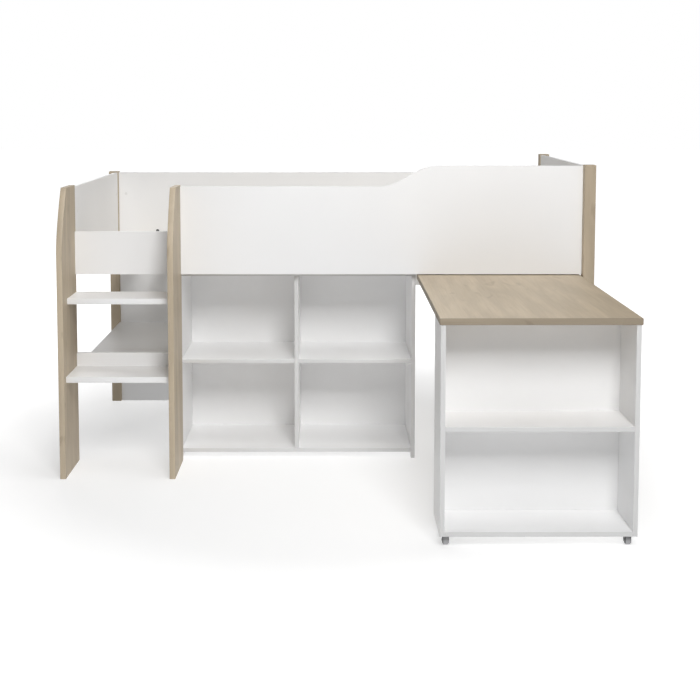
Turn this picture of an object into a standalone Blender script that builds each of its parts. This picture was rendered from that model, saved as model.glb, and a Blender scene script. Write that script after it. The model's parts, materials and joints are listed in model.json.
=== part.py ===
"""Loft bed with a step ladder, a shelf unit and a desk that rolls out from under it.

Metres, +Z up, +X to the right, +Y to the back.  The origin is on the floor, in the middle
of the footprint that the bed takes with its desk rolled out.
"""
import math

import bmesh
import bpy

# ---------------------------------------------------------------- driving dimensions
GAP = 0.0003                # clearance between pieces that touch

BED_HALF_LENGTH = 1.054     # outer face of the posts, left and right
POST = 0.045                # square section of the posts
POST_LOW = 1.118            # height of the rear left post and of the ladder stringers
POST_HIGH = 1.200           # height of the two right posts
FRONT_POST_Y = -0.060       # outer face of the front right post
REAR_POST_Y = 0.920         # outer face of the rear posts

BOARD = 0.016               # white melamine board
THICK = 0.022               # ladder, steps and desk top
THIN = 0.008                # backs of the shelf unit and the bookcase

PANEL_BOTTOM = 0.763        # lower edge of the bed box
PANEL_LOW = 1.112           # upper edge of the low panels
PANEL_HIGH = 1.195          # upper edge of the raised panels
LADDER_PANEL_TOP = 0.933
END_INSET = 0.003           # end panels, in from the inner face of the posts
REAR_INSET = 0.012

SWEEP_START_X = 0.200       # where the front panel starts to rise
SWEEP_END_X = 0.430         # where it has reached its full height
SWEEP_HANDLE = 0.095

STRINGER_FRONT_Y = -0.247
STRINGER_RIGHT_X = -0.591   # right face of the right stringer
STRINGER_SETBACK = 0.092    # how far the front edge leans back at the top
STRINGER_BEND_Z = 0.868     # where the front edge leaves the vertical
STRINGER_LIFT = 0.25        # handle at the bend, as a share of the rise above it
STRINGER_LEAN = 0.54        # handle at the top: share of the setback
STRINGER_DROP = 0.28        # and share of the rise

STEP_UPPER_TOP = 0.690
STEP_UPPER_FRONT_Y = -0.178
STEP_LOWER_TOP = 0.3915
STEP_LOWER_FRONT_Y = -0.217
LADDER_RAIL_TOP = 0.4435
LADDER_RAIL_BOTTOM = 0.366
STORAGE_SHELF_TOP = 0.388

LOWER_RAIL_BOTTOM = 0.567   # wide rail between the rear legs

SLAT_COUNT = 12
SLAT_WIDTH = 0.090
SLAT_THICKNESS = 0.015
SLAT_EDGE = 0.003           # softened edge of a slat
SLAT_RAIL = 0.028           # height of the rails under the slats
SLAT_RAIL_DEPTH = 0.022
SLAT_RAIL_BOTTOM = 0.767

SHELF_RIGHT_X = 0.3496      # outer face of the shelf unit
SHELF_FRONT_Y = 0.009
SHELF_BACK_Y = 0.340        # front face of its back
SHELF_TOP_Z = 0.749
SHELF_MID_Z = 0.392
SHELF_BOTTOM_Z = 0.025

DESK_LEFT_X = 0.355
DESK_RIGHT_X = 1.006
DESK_FRONT_Y = -0.920
DESK_DEPTH = 0.940
DESK_TOP_Z = 0.758
DESK_OVERHANG = 0.004       # desk top beyond the bookcase
CASTER_HEIGHT = 0.040
BOOKCASE_DEPTH = 0.200
BOOKCASE_MID_Z = 0.387
DESK_LEG_LEFT_X = 0.520
DESK_LEG_SETBACK = 0.012    # rear leg, in from the rear edge of the desk top
MODESTY_HEIGHT = 0.300

WHEEL_RADIUS = 0.016
WHEEL_WIDTH = 0.016
AXLE_RADIUS = 0.002
CHEEK = 0.002               # steel of the caster fork
PLATE_LIP = 0.004           # mounting plate beyond the cheeks
AXLE_END = 0.0015           # axle beyond the cheeks
CASTER_SIDE = 0.023         # wheel centre, in from the side of the bookcase
CASTER_FRONT = 0.038        # wheel centre, back from the front of the bookcase
ROUND_SEGMENTS = 32

OAK_EDGE = 0.0015           # softened edge of the solid wood

# ---------------------------------------------------------------- planes worked out
POST_INNER_X = BED_HALF_LENGTH - POST
END_INNER_X = POST_INNER_X + END_INSET
POST_INNER_FRONT_Y = FRONT_POST_Y + POST
POST_INNER_REAR_Y = REAR_POST_Y - POST
FRONT_PANEL_Y = POST_INNER_FRONT_Y - BOARD    # its back is flush with the front post
REAR_PANEL_Y = POST_INNER_REAR_Y + REAR_INSET
STRINGER_LEFT_X = STRINGER_RIGHT_X - THICK
PARTITION_RIGHT_X = STRINGER_LEFT_X + BOARD
DIVIDER_X = (PARTITION_RIGHT_X + SHELF_RIGHT_X - BOARD) / 2 - BOARD / 2
DESK_UNDER_Z = DESK_TOP_Z - THICK
DESK_REAR_Y = DESK_FRONT_Y + DESK_DEPTH
BOOKCASE_LEFT_X = DESK_LEFT_X + DESK_OVERHANG
BOOKCASE_RIGHT_X = DESK_RIGHT_X - DESK_OVERHANG
BOOKCASE_FRONT_Y = DESK_FRONT_Y + DESK_OVERHANG
BOOKCASE_REAR_Y = BOOKCASE_FRONT_Y + BOOKCASE_DEPTH
DESK_LEG_Y = DESK_REAR_Y - DESK_LEG_SETBACK - BOARD

# ---------------------------------------------------------------- finishes
OAK = {"color": (0.47, 0.38, 0.27), "roughness": 0.55, "metallic": 0.0}
WHITE = {"color": (0.83, 0.83, 0.82), "roughness": 0.45, "metallic": 0.0}
BIRCH = {"color": (0.66, 0.52, 0.36), "roughness": 0.60, "metallic": 0.0}
STEEL = {"color": (0.22, 0.22, 0.23), "roughness": 0.38, "metallic": 1.0}
RUBBER = {"color": (0.27, 0.27, 0.28), "roughness": 0.60, "metallic": 0.0}


def clear_scene():
    for obj in list(bpy.data.objects):
        bpy.data.objects.remove(obj, do_unlink=True)


def new_collection(name):
    collection = bpy.data.collections.new(name)
    bpy.context.scene.collection.children.link(collection)
    return collection


def move_to(obj, collection):
    for owner in list(obj.users_collection):
        owner.objects.unlink(obj)
    collection.objects.link(obj)


def paint(obj, finish):
    material = bpy.data.materials.new(obj.name + "_finish")
    material.use_nodes = True
    shader = material.node_tree.nodes["Principled BSDF"]
    shader.inputs["Base Color"].default_value = (*finish["color"], 1.0)
    shader.inputs["Roughness"].default_value = finish["roughness"]
    shader.inputs["Metallic"].default_value = finish["metallic"]
    obj.data.materials.clear()
    obj.data.materials.append(material)


def register(obj, name, finish, group):
    """Name a finished piece, paint it and hang it on the empty of its moving group."""
    obj.name = name
    obj.data.name = name
    paint(obj, finish)
    move_to(obj, PARTS)
    obj.parent = group
    return obj


def block(low, high):
    """A rectangular block between two opposite corners, with its scale applied."""
    centre = [(a + b) / 2 for a, b in zip(low, high)]
    bpy.ops.mesh.primitive_cube_add(size=1, location=centre)
    obj = bpy.context.object
    obj.scale = [b - a for a, b in zip(low, high)]
    bpy.ops.object.transform_apply(location=False, rotation=False, scale=True)
    return obj


def soften(obj, width):
    bevel = obj.modifiers.new("soft_edges", "BEVEL")
    bevel.width = width
    bevel.segments = 1
    bevel.limit_method = "ANGLE"


def board(name, x, y, z, group, finish=WHITE):
    """A flat board given by its extent along each axis."""
    low, high = zip(x, y, z)
    return register(block(low, high), name, finish, group)


def oak_board(name, x, y, z, group):
    obj = board(name, x, y, z, group, OAK)
    soften(obj, OAK_EDGE)
    return obj


def post(name, x, y, height):
    return oak_board(name, (x, x + POST), (y, y + POST), (0.0, height), BED)


def rod(radius, length, location):
    """A cylinder along X."""
    bpy.ops.mesh.primitive_cylinder_add(vertices=ROUND_SEGMENTS // 2, radius=radius,
                                        depth=length, location=location,
                                        rotation=(0, math.pi / 2, 0))
    return bpy.context.object


def cut(target, cutter, name):
    """Take a cutter out of a piece and keep it as a hidden guide."""
    cutter.name = name
    cutter.hide_render = True
    cutter.display_type = "WIRE"
    move_to(cutter, CUTTERS)
    boolean = target.modifiers.new(name, "BOOLEAN")
    boolean.operation = "DIFFERENCE"
    boolean.solver = "EXACT"
    boolean.object = cutter


def outline(name, corners, thickness):
    """A filled flat outline in the curve's own XY plane.

    A corner is (point, handle before, handle after); a handle of None is a sharp corner.
    """
    curve = bpy.data.curves.new(name, "CURVE")
    curve.dimensions = "2D"
    curve.fill_mode = "BOTH"
    curve.extrude = thickness / 2
    curve.resolution_u = 14
    spline = curve.splines.new("BEZIER")
    spline.bezier_points.add(len(corners) - 1)
    spline.use_cyclic_u = True
    for node, (point, before, after) in zip(spline.bezier_points, corners):
        node.handle_left_type = "VECTOR" if before is None else "FREE"
        node.handle_right_type = "VECTOR" if after is None else "FREE"
        node.co = (*point, 0)
        node.handle_left = (*(before or point), 0)
        node.handle_right = (*(after or point), 0)
    obj = bpy.data.objects.new(name, curve)
    bpy.context.scene.collection.objects.link(obj)
    return obj


# ---------------------------------------------------------------- ladder
def build_stringer(name, left_x):
    """A ladder side: a deep board whose front edge sweeps back towards its top."""
    depth = POST_INNER_FRONT_Y - STRINGER_FRONT_Y
    rise = POST_LOW - STRINGER_BEND_Z
    bend = (0, STRINGER_BEND_Z)
    top = (STRINGER_SETBACK, POST_LOW)
    lift = (0, STRINGER_BEND_Z + STRINGER_LIFT * rise)
    lean = (STRINGER_LEAN * STRINGER_SETBACK, POST_LOW - STRINGER_DROP * rise)
    corners = [((0, 0), None, None),
               (bend, None, lift),
               (top, lean, None),
               ((depth, POST_LOW), None, None),
               ((depth, 0), None, None)]
    obj = outline(name, corners, THICK)
    obj.rotation_euler = (math.pi / 2, 0, math.pi / 2)
    obj.location = (left_x + THICK / 2, STRINGER_FRONT_Y, 0)
    return register(obj, name, OAK, BED)


def build_ladder():
    build_stringer("ladder_stringer_left", -END_INNER_X - THICK)
    build_stringer("ladder_stringer_right", STRINGER_LEFT_X)
    between = (-END_INNER_X + GAP, STRINGER_LEFT_X - GAP)
    board("step_upper", between, (STEP_UPPER_FRONT_Y, POST_INNER_FRONT_Y),
          (STEP_UPPER_TOP - THICK, STEP_UPPER_TOP), BED)
    board("step_lower", between, (STEP_LOWER_FRONT_Y, FRONT_PANEL_Y - GAP),
          (STEP_LOWER_TOP - THICK, STEP_LOWER_TOP), BED)
    board("ladder_rail", between, (FRONT_PANEL_Y, POST_INNER_FRONT_Y),
          (LADDER_RAIL_BOTTOM, LADDER_RAIL_TOP), BED)
    board("ladder_guard_panel", between, (FRONT_PANEL_Y, POST_INNER_FRONT_Y),
          (PANEL_BOTTOM, LADDER_PANEL_TOP), BED)


# ---------------------------------------------------------------- bed box
def build_posts():
    post("front_right_post", POST_INNER_X, FRONT_POST_Y, POST_HIGH)
    post("rear_right_post", POST_INNER_X, POST_INNER_REAR_Y, POST_HIGH)
    post("rear_left_post", -BED_HALF_LENGTH, POST_INNER_REAR_Y, POST_LOW)


def build_front_guard_panel():
    """The long front panel, low by the ladder and swept up to full height on the right."""
    left = STRINGER_RIGHT_X + GAP
    right = POST_INNER_X - GAP
    low_end = (SWEEP_START_X, PANEL_LOW)
    high_end = (SWEEP_END_X, PANEL_HIGH)
    low_handle = (SWEEP_START_X + SWEEP_HANDLE, PANEL_LOW)
    high_handle = (SWEEP_END_X - SWEEP_HANDLE, PANEL_HIGH)
    corners = [((left, PANEL_BOTTOM), None, None),
               ((left, PANEL_LOW), None, None),
               (low_end, None, low_handle),
               (high_end, high_handle, None),
               ((right, PANEL_HIGH), None, None),
               ((right, PANEL_BOTTOM), None, None)]
    obj = outline("front_guard_panel", corners, BOARD)
    obj.rotation_euler = (math.pi / 2, 0, 0)
    obj.location = (0, FRONT_PANEL_Y + BOARD / 2, 0)
    register(obj, "front_guard_panel", WHITE, BED)


def build_bed_box():
    build_front_guard_panel()
    side_y = (POST_INNER_FRONT_Y + GAP, POST_INNER_REAR_Y - GAP)
    board("left_end_panel", (-END_INNER_X - BOARD, -END_INNER_X), side_y,
          (PANEL_BOTTOM, PANEL_LOW), BED)
    board("right_end_panel", (END_INNER_X, END_INNER_X + BOARD), side_y,
          (PANEL_BOTTOM, PANEL_HIGH), BED)
    rear_x = (-POST_INNER_X + GAP, POST_INNER_X - GAP)
    rear_y = (REAR_PANEL_Y, REAR_PANEL_Y + BOARD)
    board("rear_guard_panel", rear_x, rear_y, (PANEL_BOTTOM, PANEL_LOW), BED)
    lower_top = PANEL_BOTTOM - GAP
    board("rear_lower_rail", (PARTITION_RIGHT_X + GAP, rear_x[1]), rear_y,
          (LOWER_RAIL_BOTTOM, lower_top), BED)
    board("rear_lower_panel", (rear_x[0], PARTITION_RIGHT_X), rear_y,
          (0.0, lower_top), BED)


def build_slats():
    rail_x = (-POST_INNER_X + GAP, POST_INNER_X - GAP)
    rail_z = (SLAT_RAIL_BOTTOM, SLAT_RAIL_BOTTOM + SLAT_RAIL)
    front_y = POST_INNER_FRONT_Y + GAP
    rear_y = REAR_PANEL_Y - GAP
    for name, y in (("slat_rail_front", (front_y, front_y + SLAT_RAIL_DEPTH)),
                    ("slat_rail_rear", (rear_y - SLAT_RAIL_DEPTH, rear_y))):
        board(name, rail_x, y, rail_z, BED, BIRCH)
    slat_z = (rail_z[1] + GAP, rail_z[1] + GAP + SLAT_THICKNESS)
    slat_y = (front_y + GAP, rear_y - GAP)
    pitch = (2 * POST_INNER_X - SLAT_WIDTH) / SLAT_COUNT
    first_x = -POST_INNER_X + pitch / 2
    for index in range(SLAT_COUNT):
        x = first_x + index * pitch
        slat = board(f"slat_{index + 1:02d}", (x, x + SLAT_WIDTH), slat_y, slat_z, BED, BIRCH)
        soften(slat, SLAT_EDGE)


# ---------------------------------------------------------------- storage under the bed
def build_storage_bay():
    """The bay behind the ladder: a partition on its right and one shelf."""
    board("shelf_left_partition", (STRINGER_LEFT_X, PARTITION_RIGHT_X),
          (POST_INNER_FRONT_Y + GAP, REAR_PANEL_Y - GAP), (0.0, PANEL_BOTTOM - GAP), BED)
    board("storage_shelf", (-END_INNER_X, STRINGER_LEFT_X - GAP),
          (POST_INNER_FRONT_Y + GAP, POST_INNER_REAR_Y - GAP),
          (STORAGE_SHELF_TOP - BOARD, STORAGE_SHELF_TOP), BED)


def build_shelf_unit():
    """Two columns of two open compartments, facing the front."""
    left = PARTITION_RIGHT_X
    side = SHELF_RIGHT_X - BOARD
    depth = (SHELF_FRONT_Y, SHELF_BACK_Y)
    upright_z = (SHELF_BOTTOM_Z + BOARD + GAP, SHELF_TOP_Z - GAP)
    board("shelf_right_side", (side, SHELF_RIGHT_X), depth, (0.0, SHELF_TOP_Z - GAP), BED)
    board("shelf_top", (left + GAP, SHELF_RIGHT_X), (SHELF_FRONT_Y, SHELF_BACK_Y + THIN),
          (SHELF_TOP_Z, SHELF_TOP_Z + BOARD), BED)
    board("shelf_bottom", (left + GAP, side - GAP), depth,
          (SHELF_BOTTOM_Z, SHELF_BOTTOM_Z + BOARD), BED)
    board("shelf_divider", (DIVIDER_X, DIVIDER_X + BOARD), depth, upright_z, BED)
    mid_z = (SHELF_MID_Z, SHELF_MID_Z + BOARD)
    board("shelf_mid_left", (left + GAP, DIVIDER_X - GAP), depth, mid_z, BED)
    board("shelf_mid_right", (DIVIDER_X + BOARD + GAP, side - GAP), depth, mid_z, BED)
    board("shelf_back_panel", (left + GAP, SHELF_RIGHT_X),
          (SHELF_BACK_Y + GAP, SHELF_BACK_Y + THIN), (SHELF_BOTTOM_Z, SHELF_TOP_Z - GAP), BED)


# ---------------------------------------------------------------- rolling desk
def build_desk():
    """A desk top on an open bookcase in front and a leg board at the back."""
    oak_board("desk_top", (DESK_LEFT_X, DESK_RIGHT_X), (DESK_FRONT_Y, DESK_REAR_Y),
              (DESK_UNDER_Z, DESK_TOP_Z), DESK)
    left, right = BOOKCASE_LEFT_X, BOOKCASE_RIGHT_X
    inner_x = (left + BOARD + GAP, right - BOARD - GAP)
    back_y = BOOKCASE_REAR_Y - THIN
    depth = (BOOKCASE_FRONT_Y, back_y - GAP)
    upright_z = (CASTER_HEIGHT, DESK_UNDER_Z - GAP)
    board("bookcase_left_side", (left, left + BOARD), depth, upright_z, DESK)
    board("bookcase_right_side", (right - BOARD, right), depth, upright_z, DESK)
    board("bookcase_bottom", inner_x, depth, (CASTER_HEIGHT, CASTER_HEIGHT + BOARD), DESK)
    board("bookcase_mid_shelf", inner_x, depth, (BOOKCASE_MID_Z, BOOKCASE_MID_Z + BOARD), DESK)
    board("bookcase_back", (left, right), (back_y, BOOKCASE_REAR_Y), upright_z, DESK)
    board("desk_rear_leg", (DESK_LEG_LEFT_X, right), (DESK_LEG_Y, DESK_LEG_Y + BOARD),
          upright_z, DESK)
    board("desk_modesty_panel", (right - BOARD, right),
          (BOOKCASE_REAR_Y + GAP, DESK_LEG_Y - GAP),
          (DESK_UNDER_Z - GAP - MODESTY_HEIGHT, DESK_UNDER_Z - GAP), DESK)


def build_caster_bracket(name, x, y):
    """A fixed fork: a mounting plate with two cheeks, pierced for the axle."""
    top = CASTER_HEIGHT - GAP
    plate_z = top - CHEEK
    inner = WHEEL_WIDTH / 2 + GAP
    outer = inner + CHEEK
    fork_half = 0.75 * WHEEL_RADIUS
    fork_low = 0.5 * WHEEL_RADIUS
    fork = block((x - outer, y - fork_half, fork_low), (x + outer, y + fork_half, top))
    lip = outer + PLATE_LIP
    plate = block((x - lip, y - WHEEL_RADIUS, plate_z), (x + lip, y + WHEEL_RADIUS, top))
    join = fork.modifiers.new("plate", "BOOLEAN")
    join.operation = "UNION"
    join.solver = "EXACT"
    join.object = plate
    plate.name = name + "_plate_guide"
    plate.hide_render = True
    plate.display_type = "WIRE"
    move_to(plate, CUTTERS)
    slot = block((x - inner, y - 2 * WHEEL_RADIUS, 0),
                 (x + inner, y + 2 * WHEEL_RADIUS, plate_z - CHEEK))
    cut(fork, slot, name + "_slot_cutter")
    hole = rod(AXLE_RADIUS + GAP, 4 * outer, (x, y, WHEEL_RADIUS))
    cut(fork, hole, name + "_hole_cutter")
    register(fork, name, STEEL, DESK)


def build_caster_wheel(name, x, y):
    """A turned wheel: a bore, a recessed web and a rounded tread, swept round X."""
    half = WHEEL_WIDTH / 2
    bore = AXLE_RADIUS + GAP
    hub = 0.32 * WHEEL_RADIUS
    rim = 0.74 * WHEEL_RADIUS
    web = 0.60 * half
    shoulder = 0.92 * WHEEL_RADIUS
    side = [(half, bore), (half, hub), (web, hub), (web, rim), (half, rim), (half, shoulder),
            (0.80 * half, WHEEL_RADIUS)]
    profile = side + [(-along, radius) for along, radius in reversed(side)]
    mesh = bpy.data.meshes.new(name)
    form = bmesh.new()
    ring = [form.verts.new((along, 0, -radius)) for along, radius in profile]
    for first, second in zip(ring, ring[1:] + ring[:1]):
        form.edges.new((first, second))
    form.to_mesh(mesh)
    form.free()
    obj = bpy.data.objects.new(name, mesh)
    bpy.context.scene.collection.objects.link(obj)
    obj.location = (x, y, WHEEL_RADIUS)
    screw = obj.modifiers.new("turn", "SCREW")
    screw.axis = "X"
    screw.steps = ROUND_SEGMENTS
    screw.render_steps = ROUND_SEGMENTS
    screw.use_merge_vertices = True
    screw.merge_threshold = 0.00001
    register(obj, name, RUBBER, DESK)


def build_casters():
    """Four fixed casters: their wheels turn about X, so the desk rolls in and out."""
    left_x = BOOKCASE_LEFT_X + CASTER_SIDE
    right_x = BOOKCASE_RIGHT_X - CASTER_SIDE
    leg_x = DESK_LEG_LEFT_X + CASTER_SIDE
    front_y = BOOKCASE_FRONT_Y + CASTER_FRONT
    rear_y = DESK_LEG_Y + BOARD / 2
    places = {"front_left": (left_x, front_y), "front_right": (right_x, front_y),
              "rear_left": (leg_x, rear_y), "rear_right": (right_x, rear_y)}
    axle_length = WHEEL_WIDTH + 2 * (CHEEK + AXLE_END)
    for place, (x, y) in places.items():
        build_caster_bracket(f"caster_bracket_{place}", x, y)
        build_caster_wheel(f"caster_wheel_{place}", x, y)
        axle = rod(AXLE_RADIUS, axle_length, (x, y, WHEEL_RADIUS))
        register(axle, f"caster_axle_{place}", STEEL, DESK)


def new_group(name):
    group = bpy.data.objects.new(name, None)
    PARTS.objects.link(group)
    return group


clear_scene()
PARTS = new_collection("loft_bed_with_desk")
CUTTERS = new_collection("cutters")
BED = new_group("bed_group")
DESK = new_group("desk_group")

build_ladder()
build_posts()
build_bed_box()
build_slats()
build_storage_bay()
build_shelf_unit()
build_desk()
build_casters()
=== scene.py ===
"""Studio scene for the loft bed with desk: finishes, edge bands, fittings, light and camera.

Metres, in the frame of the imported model: +X along the mattress, -Y to the front, +Z up.
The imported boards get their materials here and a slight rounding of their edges; everything
else is a piece added to a body.
"""
import json
import math

import bmesh
import bpy
from mathutils import Matrix, Vector


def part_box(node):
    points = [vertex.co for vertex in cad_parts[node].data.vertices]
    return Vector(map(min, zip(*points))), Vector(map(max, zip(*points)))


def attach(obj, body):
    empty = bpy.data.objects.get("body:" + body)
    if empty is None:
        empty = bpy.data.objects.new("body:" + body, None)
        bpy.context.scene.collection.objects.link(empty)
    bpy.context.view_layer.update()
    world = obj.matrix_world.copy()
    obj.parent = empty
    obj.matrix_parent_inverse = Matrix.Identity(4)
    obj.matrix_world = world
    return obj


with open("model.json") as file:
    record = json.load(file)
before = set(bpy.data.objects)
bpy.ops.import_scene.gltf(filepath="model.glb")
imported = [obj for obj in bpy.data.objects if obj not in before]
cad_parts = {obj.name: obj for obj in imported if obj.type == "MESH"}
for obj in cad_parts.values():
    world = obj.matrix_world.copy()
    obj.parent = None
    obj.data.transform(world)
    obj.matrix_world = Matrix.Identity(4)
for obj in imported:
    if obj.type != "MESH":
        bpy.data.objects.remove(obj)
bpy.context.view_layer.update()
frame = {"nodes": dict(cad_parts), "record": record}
NODES = frame["nodes"]
BODY_OF = {node: body for body, members in frame["record"]["behaviour"]["bodies"].items()
           for node in members}
SLOT_OF = {part["node"]: part["material_slot"] for part in frame["record"]["subparts"]}

X = Vector((1, 0, 0))
Y = Vector((0, 1, 0))
Z = Vector((0, 0, 1))

# ---------------------------------------------------------------- finishes, linear colours
WHITE = (0.900, 0.899, 0.899)
WHITE_SHADE = (0.880, 0.879, 0.878)
# darker white for the bookcase's right side: painted shade, as that side faces away from the light
PAINTED_SHADE_WHITE = (0.82, 0.82, 0.82)
PAINTED_SHADE_WHITE_DARK = (0.80, 0.80, 0.80)
BAND_WHITE = (0.70, 0.70, 0.70)
BAND_SHADE = (0.68, 0.68, 0.677)
OAK_LIGHT = (0.51, 0.425, 0.312)
OAK_MID = (0.44, 0.365, 0.267)
OAK_DARK = (0.312, 0.250, 0.177)
OAK_TOP = 1.05              # tints of the foils: on the desk top,
OAK_UPRIGHT = 1.03          # on the uprights,
OAK_BAND = 1.13             # on the front edges of the ladder sides,
OAK_EDGE_PAINTED_SHADE = 0.70             # and the dark one round the edge of the desk top, which is painted shade
BIRCH_LIGHT = (0.68, 0.60, 0.48)
BIRCH_DARK = (0.55, 0.46, 0.34)
CAP_WHITE = (0.80, 0.80, 0.79)
CAP_SCUFFED = (0.86, 0.86, 0.85)
WHEEL_GREY = (0.42, 0.42, 0.43)
WHEEL_SCUFFED = (0.52, 0.52, 0.52)
FORK_STEEL = (0.15, 0.15, 0.155)
FORK_MOTTLE = (0.10, 0.10, 0.105)
ZINC = (0.55, 0.55, 0.56)
ZINC_MOTTLE = (0.40, 0.40, 0.41)
DARK_STEEL = (0.16, 0.16, 0.17)
DARK_MOTTLE = (0.10, 0.10, 0.11)
TAPE_WARP = (0.72, 0.70, 0.64)
TAPE_WEFT = (0.50, 0.48, 0.43)
THREAD = 190.0              # scale of the tape's weave
FLOOR_GREY = (0.54, 0.54, 0.54)
FLOOR_PALE = (0.56, 0.56, 0.56)

# ---------------------------------------------------------------- texture, features per metre
RINGS = (6.0, 0.55)         # of timber: across the grain and along it
RING_PATCHES = (3.4, 0.5)
CLOUDS = (15.0, 2.2)
STREAKS = (60.0, 1.6)
FIBRES = (210.0, 5.0)
KNOTS = (16.0, 7.0)
PORES = (560.0, 24.0)
BOARD_CLOUD = (2.1, 2.1, 2.1)
BOARD_HAZE = (9.0, 9.0, 9.0)
PEARL = (640.0, 640.0, 640.0)
SCUFFS = (75.0, 75.0, 75.0)
MATT_GRAIN = (900.0, 900.0, 900.0)
PLATING = (120.0, 120.0, 120.0)
BRUSHING = (1400.0, 1400.0, 120.0)
FLOOR_MOTTLE = (0.6, 0.6, 0.6)

RING_STRENGTH = 0.32        # how far each layer of the timber goes to its darker tone
STREAK_STRENGTH = 0.35
FIBRE_STRENGTH = 0.22
KNOT_STRENGTH = 0.50
PORE_STRENGTH = 0.28
CUT_STEP = (3.1, 5.7, 2.3)  # how far apart in the noise two cuts of the foil lie
CUTS = 7                    # the oak boards share this many cuts
DESK_EDGE_CUT = 5
STRINGER_BAND_CUT = 11
BAND_FIGURE = 0.5           # the figure is fainter on a narrow band
BIRCH_CUT = (1.7, 0.4, 2.9)

# ---------------------------------------------------------------- small geometry, metres
BAND = 0.0008               # edge band, proud of the board
BAND_ROUND = 0.0005
FOIL = 0.00025              # edge foil of the desk top, over its chamfer
ARRIS = 0.0003              # rounding of a white or birch board's own edges
OAK_ARRIS = 0.0005
SMOOTH = math.radians(35)   # edges flatter than this are shaded smooth and not rounded
STRAIGHT = 0.3              # how far, as 1 - cosine, a banded face may turn: straight edges,
SWEPT = 0.5                 # the swept fronts of the ladder sides
CURVED = 0.6                # and the curved top of the front guard
FLAT = 0.9                  # a face whose normal has this much of Z is a broad face

CAP_RADIUS = 0.0065         # press-in cover cap over a cam or a screw
CAM_RADIUS = 0.0085         # wider cap over the cam under a shelf
BOLT_RADIUS = 0.0075
SCREW_RADIUS = 0.0036
NAIL_RADIUS = 0.0020
RIVET_RADIUS = 0.0032
STEPS = 28                  # corners of a round fitting
BOLT_STEPS = 36
SCREW_STEPS = 32
NAIL_STEPS = 12
STAPLE_STEPS = 8
STAPLE_LENGTH = 0.011
STAPLE_RADIUS = 0.0005

END_MARGIN = 0.034          # caps, in from the ends of a panel
CAP_MARGIN = 0.052          # caps and bolts, in from its long edges
CAP_REACH = 0.30            # caps of a raised panel stay this close to its lower edge
END_BOLT_MARGIN = 0.090
SEEN_BOLT = (0.091, 0.069)  # along the rear guard, as a share, and up from its lower edge
CAM_MARGIN = 0.028
CAM_PLACES = (0.22, 0.78)   # shares of a shelf's depth
NAIL_INSET = 0.008
NAIL_PITCH = 0.11
STEP_SCREW_PLACES = (0.25, 0.75)    # shares of a step's depth or a rail's height
SLAT_SCREW_MARGIN = 0.011
SLAT_SCREW_PLACES = (0.58, 0.42)    # shares of a slat's width, by turns
STAPLE_PLACES = (0.35, 0.65)
BLOCK_MARGIN = 0.09

TAPE_PLACES = (0.17, 0.83)  # shares of a slat's length
TAPE_WIDTH = 0.022
TAPE_THICKNESS = 0.0009
TAPE_SLACK = 0.0030         # sag of the slat tape between two slats
SAG_PLACES = (0.2, 0.4, 0.6, 0.8)   # shares of the gap where the sagging tape is drawn
TAPE_EDGE = 0.004           # the tape leaves a slat this far in from its edge
TAPE_ROUND = 0.0003
TAPE_LIFT = 0.0002          # clear of the slats
BLOCK = (0.030, 0.018, 0.022)   # plastic corner block under the desk top
BLOCK_ROUND = 0.0025
CLEARANCE = 0.0003
WELD = 0.00001

# ---------------------------------------------------------------- studio
CAMERA_PLACE = (0.0027, -4.4008, 1.4406)
CAMERA_TILT = 4.41          # degrees below the horizon
CAMERA_TURN = -0.109
LENS = 56.79                # millimetres, as is the sensor
SENSOR_WIDTH = 36.0
LENS_SHIFT = (0.0262, -0.23)
BOUNCES = 16                # of light: the shelves are lit mostly by their own boards
DIFFUSE_BOUNCES = 12
SKY_GLOW = 0.12             # light from straight above
FLOOR_SIZE = 60
FLOOR_GLOW = 0.42           # light that the floor gives back to the object
LIFT_NEAR, LIFT_FAR = 0.06, 0.62    # extra glow of the floor as the camera sees it,
FLOOR_NEAR, FLOOR_FAR = 1.0, 2.2    # and between which distances from the middle it grows


class Tree:
    """The node tree of a material or world, whose nodes are added and wired in one call each."""

    def __init__(self, owner):
        owner.use_nodes = True
        self.owner = owner
        self.nodes = owner.node_tree.nodes
        self.links = owner.node_tree.links

    def wire(self, node, sockets):
        for key, value in sockets.items():
            if isinstance(value, bpy.types.NodeSocket):
                self.links.new(value, node.inputs[key])
            else:
                node.inputs[key].default_value = value

    def add(self, kind, sockets=None, **settings):
        node = self.nodes.new("ShaderNode" + kind)
        for key, value in settings.items():
            setattr(node, key, value)
        self.wire(node, sockets or {})
        return node

    def coords(self, scale, offset=(0, 0, 0)):
        """Coordinates fixed to the piece, stretched by scale."""
        source = self.add("TexCoord").outputs["Object"]
        return self.add("Mapping", {"Vector": source, "Scale": scale,
                                    "Location": offset}).outputs["Vector"]

    def noise(self, scale, offset=(0, 0, 0), detail=2.0, roughness=0.5, warp=0.0):
        return self.add("TexNoise", {"Vector": self.coords(scale, offset), "Scale": 1.0,
                                     "Detail": detail, "Roughness": roughness,
                                     "Distortion": warp}).outputs["Fac"]

    def math(self, operation, first, second=0.0):
        return self.add("Math", {0: first, 1: second}, operation=operation).outputs[0]

    def ramp(self, value, low, high, out_low=0.0, out_high=1.0):
        """A clamped straight line from (low, out_low) to (high, out_high)."""
        return self.add("MapRange", {"Value": value, "From Min": low, "From Max": high,
                                     "To Min": out_low, "To Max": out_high}).outputs["Result"]

    def blend(self, factor, first, second):
        node = self.add("Mix", data_type="RGBA")
        self.wire(node, {0: factor, 6: first, 7: second})
        return node.outputs[2]

    def bump(self, height, strength, distance):
        return self.add("Bump", {"Height": height, "Strength": strength,
                                 "Distance": distance}).outputs["Normal"]

    def finish(self, **sockets):
        """Sets the Principled shader's sockets, whose names are given with underscores."""
        named = {key.replace("_", " "): value for key, value in sockets.items()}
        self.wire(self.nodes["Principled BSDF"], named)
        return self.owner


def new_material(name):
    return Tree(bpy.data.materials.new(name))


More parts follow.
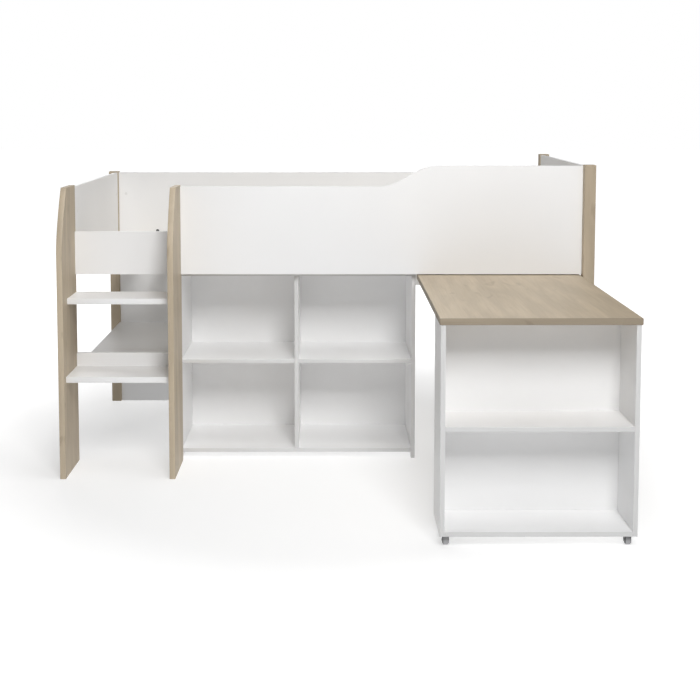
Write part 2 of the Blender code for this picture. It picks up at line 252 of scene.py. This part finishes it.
def stretched(axis, across, along):
    """Noise scales that draw a pattern out along one axis."""
    return tuple(along if name == axis else across for name in "XYZ")


def rgba(colour):
    return (*colour, 1.0)


def wood(name, axis, offset, tones, figure=1.0, pores=1.0, knots=1.0):
    """Foil-finished timber: cloudy streaks, a soft figure, short pores and faint knots."""
    light, mid, dark = (rgba(tone) for tone in tones)
    tree = new_material(name)
    field = tree.noise(stretched(axis, *RINGS), offset, detail=1.2, warp=0.35)
    rings = tree.ramp(tree.math("SINE", tree.math("MULTIPLY", field, 38.0)), -0.4, 1.0)
    patches = tree.noise(stretched(axis, *RING_PATCHES), offset, detail=0.6)
    rings = tree.math("MULTIPLY", rings, tree.ramp(patches, 0.42, 0.66))
    rings = tree.math("MULTIPLY", rings, RING_STRENGTH * figure)
    cloud = tree.noise(stretched(axis, *CLOUDS), offset, detail=3.0, warp=0.6)
    streak = tree.noise(stretched(axis, *STREAKS), offset, detail=3.0)
    fibre = tree.noise(stretched(axis, *FIBRES), offset, detail=3.0, roughness=0.6)
    knot = tree.noise(stretched(axis, *KNOTS), offset, detail=1.0, warp=0.8)
    pore = tree.noise(stretched(axis, *PORES), offset, detail=1.5)
    pit = tree.ramp(pore, 0.66, 0.74, 0.0, PORE_STRENGTH * pores)
    base = tree.blend(tree.ramp(cloud, 0.40, 0.60), mid, light)
    base = tree.blend(tree.ramp(streak, 0.45, 0.75, 0.0, STREAK_STRENGTH), base, mid)
    base = tree.blend(rings, base, dark)
    base = tree.blend(tree.ramp(fibre, 0.50, 0.78, 0.0, FIBRE_STRENGTH), base, dark)
    base = tree.blend(tree.ramp(knot, 0.68, 0.75, 0.0, KNOT_STRENGTH * knots), base, dark)
    base = tree.blend(pit, base, dark)
    rough = tree.ramp(fibre, 0.3, 0.7, 0.46, 0.58)
    height = tree.math("SUBTRACT", tree.math("MULTIPLY", fibre, 0.3), pit)
    normal = tree.bump(height, strength=0.25, distance=0.0004)
    return tree.finish(Base_Color=base, Roughness=rough, Normal=normal)


def oak(name, axis, cut, figure=1.0, tint=1.0):
    tones = [[tint * part for part in tone] for tone in (OAK_LIGHT, OAK_MID, OAK_DARK)]
    offset = tuple(cut * step for step in CUT_STEP)
    return wood(name, axis, offset, tones, figure)


def birch(name, axis):
    tones = (BIRCH_LIGHT, BIRCH_LIGHT, BIRCH_DARK)
    return wood(name, axis, BIRCH_CUT, tones, figure=0.6, pores=0.4, knots=0.3)


def melamine(name, colour=WHITE, shade=WHITE_SHADE, relief=0.10):
    """White faced board: a faint pearl texture and a barely uneven sheen."""
    tree = new_material(name)
    cloud = tree.noise(BOARD_CLOUD, detail=2.0)
    speck = tree.noise(PEARL, detail=1.0)
    base = tree.blend(tree.ramp(cloud, 0.35, 0.65), rgba(shade), rgba(colour))
    base = tree.blend(tree.ramp(speck, 0.62, 0.80, 0.0, 0.10), base, rgba(shade))
    haze = tree.noise(BOARD_HAZE, detail=3.0)
    rough = tree.ramp(haze, 0.3, 0.7, 0.36, 0.46)
    normal = tree.bump(speck, strength=relief, distance=0.0003)
    return tree.finish(Base_Color=base, Roughness=rough, Normal=normal)


def plastic(name, colour, worn):
    """Moulded plastic with a fine matt grain and paler scuffs."""
    tree = new_material(name)
    grain = tree.noise(MATT_GRAIN, detail=2.0)
    scuff = tree.noise(SCUFFS, detail=4.0)
    base = tree.blend(tree.ramp(scuff, 0.50, 0.78, 0.0, 0.6), rgba(colour), rgba(worn))
    rough = tree.ramp(scuff, 0.3, 0.7, 0.38, 0.55)
    normal = tree.bump(grain, strength=0.18, distance=0.0002)
    return tree.finish(Base_Color=base, Roughness=rough, Normal=normal)


def steel(name, colour, mottled):
    """Pressed or turned steel: brushed along Z, with a mottled plating."""
    tree = new_material(name)
    mottle = tree.noise(PLATING, detail=4.0)
    brushed = tree.noise(BRUSHING, detail=2.0)
    base = tree.blend(tree.ramp(mottle, 0.35, 0.70), rgba(colour), rgba(mottled))
    rough = tree.ramp(mottle, 0.3, 0.7, 0.28, 0.46)
    normal = tree.bump(brushed, strength=0.12, distance=0.0001)
    return tree.finish(Base_Color=base, Roughness=rough, Normal=normal, Metallic=1.0)


def webbing(name):
    """Woven tape: warp and weft drawn by two crossed waves."""
    tree = new_material(name)
    across = tree.add("TexWave", {"Vector": tree.coords((1, 1, 1)), "Scale": THREAD},
                      wave_type="BANDS", bands_direction="X").outputs["Fac"]
    along = tree.add("TexWave", {"Vector": tree.coords((1, 1, 1)), "Scale": THREAD},
                     wave_type="BANDS", bands_direction="Y").outputs["Fac"]
    weave = tree.math("MULTIPLY", across, along)
    base = tree.blend(weave, rgba(TAPE_WEFT), rgba(TAPE_WARP))
    rough = tree.ramp(weave, 0.0, 1.0, 0.75, 0.92)
    normal = tree.bump(weave, strength=0.5, distance=0.0005)
    return tree.finish(Base_Color=base, Roughness=rough, Normal=normal)


def assign(obj, material):
    obj.data.materials.clear()
    obj.data.materials.append(material)


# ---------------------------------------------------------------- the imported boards
def finish_boards():
    """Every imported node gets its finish; the grain of each oak piece runs along its length."""
    white = melamine("white_melamine")
    # The bookcase's right side gets a darker white, as painted shade.
    inner = melamine("bookcase_side_painted_shade", PAINTED_SHADE_WHITE, PAINTED_SHADE_WHITE_DARK)
    slat_wood = birch("birch_slat", "Y")
    rail_wood = birch("birch_rail", "X")
    fork_steel = steel("zinc_fork", FORK_STEEL, FORK_MOTTLE)
    tyre = plastic("grey_wheel", WHEEL_GREY, WHEEL_SCUFFED)
    for index, (node, slot) in enumerate(sorted(SLOT_OF.items())):
        if slot == "oak":
            axis = "Y" if node == "desk_top" else "Z"
            tint = OAK_TOP if node == "desk_top" else OAK_UPRIGHT
            material = oak("oak_" + node, axis, 1 + index % CUTS, tint=tint)
        elif slot == "birch":
            material = rail_wood if node.startswith("slat_rail") else slat_wood
        elif slot == "caster_steel":
            material = fork_steel
        elif slot == "caster_wheel":
            material = tyre
        else:
            # the darker white, painted shade, goes on the bookcase's right side
            material = inner if node == "bookcase_right_side" else white
        assign(NODES[node], material)


def round_arrises():
    """Softens the edges of every packed board."""
    for node, slot in SLOT_OF.items():
        if slot.startswith("caster"):
            continue
        weld = NODES[node].modifiers.new("weld", "WELD")
        weld.merge_threshold = WELD
        add_bevel(NODES[node], OAK_ARRIS if slot == "oak" else ARRIS)


def add_bevel(obj, width):
    bevel = obj.modifiers.new("arris", "BEVEL")
    bevel.width = width
    bevel.segments = 2
    bevel.limit_method = "ANGLE"
    bevel.angle_limit = SMOOTH


# ---------------------------------------------------------------- pieces added to the boards
def add_piece(name, form, body, material):
    """Turns a bmesh into a piece that rides on a body and takes the given finish."""
    mesh = bpy.data.meshes.new(name)
    form.to_mesh(mesh)
    form.free()
    mesh.shade_smooth()
    mesh.set_sharp_from_angle(angle=SMOOTH)
    piece = bpy.data.objects.new(name, mesh)
    bpy.context.scene.collection.objects.link(piece)
    assign(piece, material)
    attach(piece, body)
    return piece


def facing(*directions, spread=STRAIGHT):
    """A test for normals that look along one of the directions."""
    return lambda normal: any(normal.dot(way) > 1 - spread for way in directions)


def banded_faces(node, wanted):
    """The faces of a packed board whose normals pass the test, as one welded sheet."""
    sheet = bmesh.new()
    sheet.from_mesh(NODES[node].data)
    bmesh.ops.remove_doubles(sheet, verts=sheet.verts, dist=WELD)
    sheet.normal_update()
    others = [face for face in sheet.faces if not wanted(face.normal)]
    bmesh.ops.delete(sheet, geom=others, context="FACES")
    bmesh.ops.dissolve_limit(sheet, angle_limit=math.radians(1), verts=sheet.verts,
                             edges=sheet.edges)
    return sheet


def edge_band(node, wanted, material, thickness=BAND, round_off=BAND_ROUND):
    """A band glued on the faces of a board whose normals pass the test."""
    form = banded_faces(node, wanted)
    band = add_piece("band_" + node, form, BODY_OF[node], material)
    skin = band.modifiers.new("thickness", "SOLIDIFY")
    skin.thickness = thickness
    skin.offset = 1.0
    if round_off:
        add_bevel(band, round_off)


def not_flat(normal):
    """Passes the edges of a level board with their chamfers, but not its broad faces."""
    return abs(normal.z) < FLAT


def edge_bands():
    white = melamine("white_edge_band", relief=0.03)
    grey = melamine("shelf_edge_band", BAND_WHITE, BAND_SHADE, relief=0.03)
    front = facing(-Y)
    top_and_bottom = facing(Z, -Z)
    for node, wanted in (("front_guard_panel", facing(Z, -Z, spread=CURVED)),
                         ("ladder_guard_panel", top_and_bottom),
                         ("ladder_rail", top_and_bottom), ("left_end_panel", top_and_bottom),
                         ("right_end_panel", top_and_bottom), ("rear_guard_panel", facing(Z)),
                         ("rear_lower_rail", facing(-Z)), ("step_upper", facing(-Y, Y)),
                         ("step_lower", front), ("storage_shelf", front),
                         ("shelf_right_side", front), ("shelf_divider", front),
                         ("shelf_top", front), ("shelf_bottom", front),
                         ("shelf_mid_left", front), ("shelf_mid_right", front),
                         ("bookcase_left_side", front), ("bookcase_right_side", front),
                         ("bookcase_bottom", front), ("bookcase_mid_shelf", front),
                         ("desk_rear_leg", facing(-X)), ("desk_modesty_panel", facing(-Z))):
        shelving = node.startswith(("shelf", "bookcase"))
        edge_band(node, wanted, grey if shelving else white)
    for index, node in enumerate(("ladder_stringer_left", "ladder_stringer_right")):
        foil = oak("oak_band_" + node, "Z", STRINGER_BAND_CUT + index, BAND_FIGURE, OAK_BAND)
        edge_band(node, facing(-Y, Z, spread=SWEPT), foil)
    # The edge foil of the desk top is tinted dark: painted shade round its edge.
    foil = oak("oak_band_desk_top_painted_shade", "X", DESK_EDGE_CUT, BAND_FIGURE, OAK_EDGE_PAINTED_SHADE)
    edge_band("desk_top", not_flat, foil, FOIL, round_off=None)


def hexagon(angle):
    """Reach of a hexagon's outline, as a share of its corners' radius."""
    return math.cos(math.pi / 6) / math.cos((angle + math.pi / 6) % (math.pi / 3) - math.pi / 6)


def cross(angle):
    """Reach of a cross-head recess, with four narrow lobes."""
    return 0.38 + 0.62 * abs(math.cos(2 * angle)) ** 8


def circle(angle):
    return 1.0


# A fitting's profile is a list of rings (height, radius, outline), and both ends are closed.
def cap_profile(radius):
    """A flat cap with a low dome."""
    return [(0, radius, circle), (0.0006, radius, circle), (0.0010, 0.90 * radius, circle),
            (0.0012, 0.55 * radius, circle)]


BOLT = [(0, BOLT_RADIUS, circle), (0.0010, BOLT_RADIUS, circle),
        (0.0018, 0.86 * BOLT_RADIUS, circle), (0.0018, 0.44 * BOLT_RADIUS, circle),
        (0.0015, 0.38 * BOLT_RADIUS, hexagon), (0.0003, 0.36 * BOLT_RADIUS, hexagon)]
SCREW = [(0, SCREW_RADIUS, circle), (0.0004, SCREW_RADIUS, circle),
         (0.0008, 0.85 * SCREW_RADIUS, circle), (0.0008, 0.60 * SCREW_RADIUS, cross),
         (0.0001, 0.35 * SCREW_RADIUS, cross)]
NAIL = [(0, NAIL_RADIUS, circle), (0.0005, NAIL_RADIUS, circle),
        (0.0008, 0.5 * NAIL_RADIUS, circle)]
RIVET = [(0, RIVET_RADIUS, circle), (0.0006, RIVET_RADIUS, circle),
         (0.0011, 0.75 * RIVET_RADIUS, circle), (0.0014, 0.35 * RIVET_RADIUS, circle)]


def staple_profile(length, radius):
    """The back of a staple: a short wire, centred on its place."""
    return [(-length / 2, 0.5 * radius, circle), (-0.46 * length, radius, circle),
            (0.46 * length, radius, circle), (length / 2, 0.5 * radius, circle)]


def add_fitting(form, profile, place, direction, steps=STEPS):
    """One closed fitting whose base is at place and whose axis points in direction."""
    spot = Matrix.Translation(place) @ direction.to_track_quat("Z", "Y").to_matrix().to_4x4()
    rings = []
    for height, radius, outline in profile:
        ring = []
        for step in range(steps):
            angle = 2 * math.pi * step / steps
            reach = radius * outline(angle)
            corner = Vector((reach * math.cos(angle), reach * math.sin(angle), height))
            ring.append(form.verts.new(spot @ corner))
        rings.append(ring)
    for low, high in zip(rings, rings[1:]):
        for step in range(steps):
            after = (step + 1) % steps
            form.faces.new((low[step], low[after], high[after], high[step]))
    form.faces.new(rings[0][::-1])
    form.faces.new(rings[-1])


def add_fittings(name, profile, spots, body, material, steps=STEPS):
    """Equal fittings as one piece: spots is a list of (place, direction)."""
    form = bmesh.new()
    for place, direction in spots:
        add_fitting(form, profile, Vector(place), direction, steps)
    return add_piece(name, form, body, material)


def share(low, high, part):
    """The place that lies part of the way from low to high."""
    return low + (high - low) * part


def ends(low, high, margin=END_MARGIN):
    """Two places, each the margin in from one end."""
    return (low + margin, high - margin)


def panel_caps():
    """Cover caps on the inner faces of the bed's panels, by their ends."""
    spots = []
    for node, inward in (("front_guard_panel", Y), ("rear_guard_panel", -Y),
                         ("ladder_guard_panel", Y)):
        low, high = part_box(node)
        face = high.y if inward == Y else low.y
        for x in ends(low.x, high.x):
            for z in ends(low.z, min(high.z, low.z + CAP_REACH), CAP_MARGIN):
                spots.append(((x, face, z), inward))
    for node, inward in (("left_end_panel", X), ("right_end_panel", -X)):
        low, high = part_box(node)
        face = high.x if inward == X else low.x
        for y in ends(low.y, high.y):
            for z in ends(low.z, low.z + CAP_REACH, CAP_MARGIN):
                spots.append(((face, y, z), inward))
    return spots


def shelf_cams(nodes):
    """Caps over the cams on the underside of each listed shelf."""
    spots = []
    for node in nodes:
        low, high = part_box(node)
        for x in ends(low.x, high.x, CAM_MARGIN):
            for part in CAM_PLACES:
                spots.append(((x, share(low.y, high.y, part), low.z), -Z))
    return spots


def stringer_caps():
    """Oak caps over the screws that hold the steps, rail and guard between the stringers."""
    spots = []
    hidden_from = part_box("front_guard_panel")[0].y - CAP_RADIUS
    for stringer, outward in (("ladder_stringer_left", -X), ("ladder_stringer_right", X)):
        low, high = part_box(stringer)
        face = high.x if outward == X else low.x
        for node in ("step_upper", "step_lower"):
            near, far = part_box(node)
            for part in STEP_SCREW_PLACES:
                y = share(near.y, min(far.y, high.y), part)
                if outward == -X or y < hidden_from:
                    spots.append(((face, y, (near.z + far.z) / 2), outward))
    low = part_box("ladder_stringer_left")[0]
    for node in ("ladder_guard_panel", "ladder_rail"):
        near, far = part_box(node)
        for part in STEP_SCREW_PLACES:
            spots.append(((low.x, (near.y + far.y) / 2, share(near.z, far.z, part)), -X))
    return spots


def post_bolts():
    """Socket-head bolts through the posts into the panels and rails, and one in the rear guard."""
    spots = []
    for post, outward, held in (("front_right_post", X, ("front_guard_panel",)),
                                ("rear_right_post", X, ("rear_guard_panel", "rear_lower_rail")),
                                ("rear_left_post", -X, ("rear_guard_panel", "rear_lower_panel"))):
        low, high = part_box(post)
        face = high.x if outward == X else low.x
        for node in held:
            near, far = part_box(node)
            for z in ends(near.z, far.z, CAP_MARGIN):
                spots.append(((face, (near.y + far.y) / 2, z), outward))
    for post, node in (("rear_right_post", "right_end_panel"),
                       ("rear_left_post", "left_end_panel")):
        near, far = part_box(node)
        for z in ends(near.z, far.z, END_BOLT_MARGIN):
            spots.append((((near.x + far.x) / 2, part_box(post)[1].y, z), Y))
    low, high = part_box("rear_guard_panel")
    along, up = SEEN_BOLT
    spots.append(((share(low.x, high.x, along), low.y, low.z + up), -Y))
    return spots


def back_nails(node):
    """Nail heads round the edge of a thin back, on its rear face."""
    low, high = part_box(node)
    across = round((high.x - low.x) / NAIL_PITCH)
    upward = round((high.z - low.z) / NAIL_PITCH)
    spots = []
    for step in range(across + 1):
        x = share(low.x + NAIL_INSET, high.x - NAIL_INSET, step / across)
        spots += [((x, high.y, z), Y) for z in ends(low.z, high.z, NAIL_INSET)]
    for step in range(1, upward):
        z = share(low.z + NAIL_INSET, high.z - NAIL_INSET, step / upward)
        spots += [((x, high.y, z), Y) for x in ends(low.x, high.x, NAIL_INSET)]
    return spots


def slat_boxes():
    names = sorted(node for node in NODES if node.startswith("slat_") and node[5:].isdigit())
    return [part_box(node) for node in names]


def slat_screws():
    """One screw at each end of a slat, off its middle by turns."""
    spots = []
    for index, (low, high) in enumerate(slat_boxes()):
        x = share(low.x, high.x, SLAT_SCREW_PLACES[index % 2])
        for y in ends(low.y, high.y, SLAT_SCREW_MARGIN):
            spots.append(((x, y, high.z), Z))
    return spots


def tape_lines():
    """Where the two tapes cross the slats, from front to back."""
    low, high = slat_boxes()[0]
    return [share(low.y, high.y, part) for part in TAPE_PLACES]


def tape_stations(boxes):
    """Places along a tape and how far it hangs there, from the first slat to the last."""
    stations = []
    for (low, high), after in zip(boxes, boxes[1:] + [None]):
        start, leave = low.x + TAPE_EDGE, high.x - TAPE_EDGE
        stations += [(start, 0.0), ((low.x + high.x) / 2, 0.0), (leave, 0.0)]
        if after:
            for part in SAG_PLACES:
                sag = TAPE_SLACK * math.sin(math.pi * part)
                stations.append((share(leave, after[0].x + TAPE_EDGE, part), sag))
    return stations


def slat_tape(name, y, material):
    """Webbing stapled along the slats, a little slack between them."""
    boxes = slat_boxes()
    top = boxes[0][1].z + TAPE_LIFT
    stations = tape_stations(boxes)
    form = bmesh.new()
    sides = [[form.verts.new((x, edge, top - sag)) for x, sag in stations]
             for edge in (y - TAPE_WIDTH / 2, y, y + TAPE_WIDTH / 2)]
    for near, far in zip(sides, sides[1:]):
        for step in range(len(stations) - 1):
            form.faces.new((near[step], near[step + 1], far[step + 1], far[step]))
    tape = add_piece(name, form, "bed", material)
    skin = tape.modifiers.new("thickness", "SOLIDIFY")
    skin.thickness = TAPE_THICKNESS
    skin.offset = 1.0
    add_bevel(tape, TAPE_ROUND)


def staples():
    """Two staples through each tape into each slat."""
    top = slat_boxes()[0][1].z + TAPE_THICKNESS + 2 * TAPE_LIFT
    spots = []
    for y in tape_lines():
        for low, high in slat_boxes():
            for part in STAPLE_PLACES:
                spots.append(((share(low.x, high.x, part), y, top), Y))
    return spots


def rivets():
    """Domed ends on the caster axles."""
    spots = []
    for node in (name for name in NODES if name.startswith("caster_axle")):
        low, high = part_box(node)
        for face, way in ((low.x, -X), (high.x, X)):
            spots.append(((face, (low.y + high.y) / 2, (low.z + high.z) / 2), way))
    return spots


def corner_blocks(material):
    """Plastic blocks that hold the desk top to the bookcase and the rear leg board.

    Returns the spots of the screws up through them.
    """
    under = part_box("desk_top")[0].z
    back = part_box("bookcase_back")[1]
    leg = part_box("desk_rear_leg")
    width, depth, height = BLOCK
    places = []
    for x in ends(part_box("bookcase_back")[0].x, back.x, BLOCK_MARGIN):
        places.append((x, back.y + depth / 2 + CLEARANCE))
    for x in ends(leg[0].x, leg[1].x, BLOCK_MARGIN):
        places.append((x, leg[0].y - depth / 2 - CLEARANCE))
    form = bmesh.new()
    for x, y in places:
        centre = Matrix.Translation((x, y, under - height / 2 - CLEARANCE))
        size = Matrix.Diagonal((width, depth, height, 1))
        bmesh.ops.create_cube(form, size=1, matrix=centre @ size)
    blocks = add_piece("corner_blocks", form, "desk", material)
    add_bevel(blocks, BLOCK_ROUND)
    return [((x, y, under - height - CLEARANCE), -Z) for x, y in places]


def fit_out():
    """Caps, bolts, screws, nails, tape and rivets."""
    cap_white = plastic("cap_white", CAP_WHITE, CAP_SCUFFED)
    cap_oak = plastic("cap_oak", OAK_MID, OAK_LIGHT)
    bright = steel("zinc_bright", ZINC, ZINC_MOTTLE)
    dark = steel("steel_dark", DARK_STEEL, DARK_MOTTLE)
    tape = webbing("slat_webbing")
    cap = cap_profile(CAP_RADIUS)
    cam = cap_profile(CAM_RADIUS)
    staple = staple_profile(STAPLE_LENGTH, STAPLE_RADIUS)
    bed_shelves = ("shelf_mid_left", "shelf_mid_right", "shelf_bottom", "shelf_top",
                   "storage_shelf", "step_upper", "step_lower")
    bookcase_shelves = ("bookcase_mid_shelf", "bookcase_bottom")
    add_fittings("panel_caps", cap, panel_caps(), "bed", cap_white)
    add_fittings("shelf_cams", cam, shelf_cams(bed_shelves), "bed", cap_white)
    add_fittings("bookcase_cams", cam, shelf_cams(bookcase_shelves), "desk", cap_white)
    add_fittings("stringer_caps", cap, stringer_caps(), "bed", cap_oak)
    add_fittings("post_bolts", BOLT, post_bolts(), "bed", dark, BOLT_STEPS)
    add_fittings("shelf_back_nails", NAIL, back_nails("shelf_back_panel"), "bed", bright,
                 NAIL_STEPS)
    add_fittings("bookcase_back_nails", NAIL, back_nails("bookcase_back"), "desk", bright,
                 NAIL_STEPS)
    add_fittings("slat_screws", SCREW, slat_screws(), "bed", bright, SCREW_STEPS)
    for place, y in zip(("front", "rear"), tape_lines()):
        slat_tape("slat_tape_" + place, y, tape)
    add_fittings("tape_staples", staple, staples(), "bed", bright, STAPLE_STEPS)
    add_fittings("axle_rivets", RIVET, rivets(), "desk", bright)
    add_fittings("block_screws", SCREW, corner_blocks(cap_white), "desk", bright,
                 SCREW_STEPS)


# ---------------------------------------------------------------- camera, light and floor
def studio_camera():
    data = bpy.data.cameras.new("studio_camera")
    data.lens = LENS
    data.sensor_width = SENSOR_WIDTH
    data.shift_x, data.shift_y = LENS_SHIFT
    camera = bpy.data.objects.new("studio_camera", data)
    camera.location = CAMERA_PLACE
    camera.rotation_euler = (math.radians(90 - CAMERA_TILT), 0, math.radians(CAMERA_TURN))
    bpy.context.scene.collection.objects.link(camera)
    bpy.context.scene.camera = camera


def area_light(name, location, target, size, power):
    """A square white lamp of size metres and power watts."""
    data = bpy.data.lights.new(name, "AREA")
    data.shape = "SQUARE"
    data.size = size
    data.energy = power
    light = bpy.data.objects.new(name, data)
    light.location = location
    aim = Vector(target) - Vector(location)
    light.rotation_euler = aim.to_track_quat("-Z", "Y").to_euler()
    bpy.context.scene.collection.objects.link(light)


def studio_sky():
    """A white backdrop that lights the object only softly, and only from above."""
    world = bpy.data.worlds.new("studio_sky")
    tree = Tree(world)
    direction = tree.add("TexCoord").outputs["Generated"]
    height = tree.add("SeparateXYZ", {0: direction}).outputs["Z"]
    seen = tree.add("LightPath").outputs["Is Camera Ray"]
    strength = tree.math("MAXIMUM", tree.math("MULTIPLY", height, SKY_GLOW), seen)
    tree.wire(tree.nodes["Background"], {"Color": (1, 1, 1, 1), "Strength": strength})
    bpy.context.scene.world = world


def studio_floor():
    """A pale floor that shows soft shadows round the object and runs out to white."""
    bpy.ops.mesh.primitive_grid_add(x_subdivisions=8, y_subdivisions=8, size=FLOOR_SIZE)
    floor = bpy.context.object
    floor.name = "studio_floor"
    tree = new_material("floor_paint")
    mottle = tree.noise(FLOOR_MOTTLE, detail=3.0)
    base = tree.blend(mottle, rgba(FLOOR_GREY), rgba(FLOOR_PALE))
    source = tree.add("TexCoord").outputs["Object"]
    reach = tree.add("VectorMath", {0: source}, operation="LENGTH").outputs["Value"]
    seen = tree.add("LightPath").outputs["Is Camera Ray"]
    extra = tree.ramp(reach, FLOOR_NEAR, FLOOR_FAR, LIFT_NEAR, LIFT_FAR)
    glow = tree.math("ADD", tree.math("MULTIPLY", seen, extra), FLOOR_GLOW)
    assign(floor, tree.finish(Base_Color=base, Roughness=0.9, Emission_Color=(1, 1, 1, 1),
                              Emission_Strength=glow))


def studio():
    studio_camera()
    studio_sky()
    studio_floor()
    area_light("key", (0.82, -4.86, 4.29), (0.0, -0.2, 0.6), size=2.0, power=226)
    area_light("top", (0.3, -0.6, 3.2), (0.0, 0.0, 0.7), size=1.2, power=23)
    area_light("top_rear", (0.3, 1.6, 3.0), (0.0, 0.0, 0.7), size=1.2, power=9)
    area_light("rear_fill", (-1.5, 5.6, 3.2), (0.0, 0.0, 0.6), size=3.0, power=60)
    area_light("side_fill", (5.8, 0.8, 2.8), (0.0, 0.0, 0.6), size=3.0, power=20)
    scene = bpy.context.scene
    scene.view_settings.view_transform = "Standard"
    scene.cycles.max_bounces = BOUNCES
    scene.cycles.diffuse_bounces = DIFFUSE_BOUNCES


finish_boards()
round_arrises()
edge_bands()
fit_out()
studio()
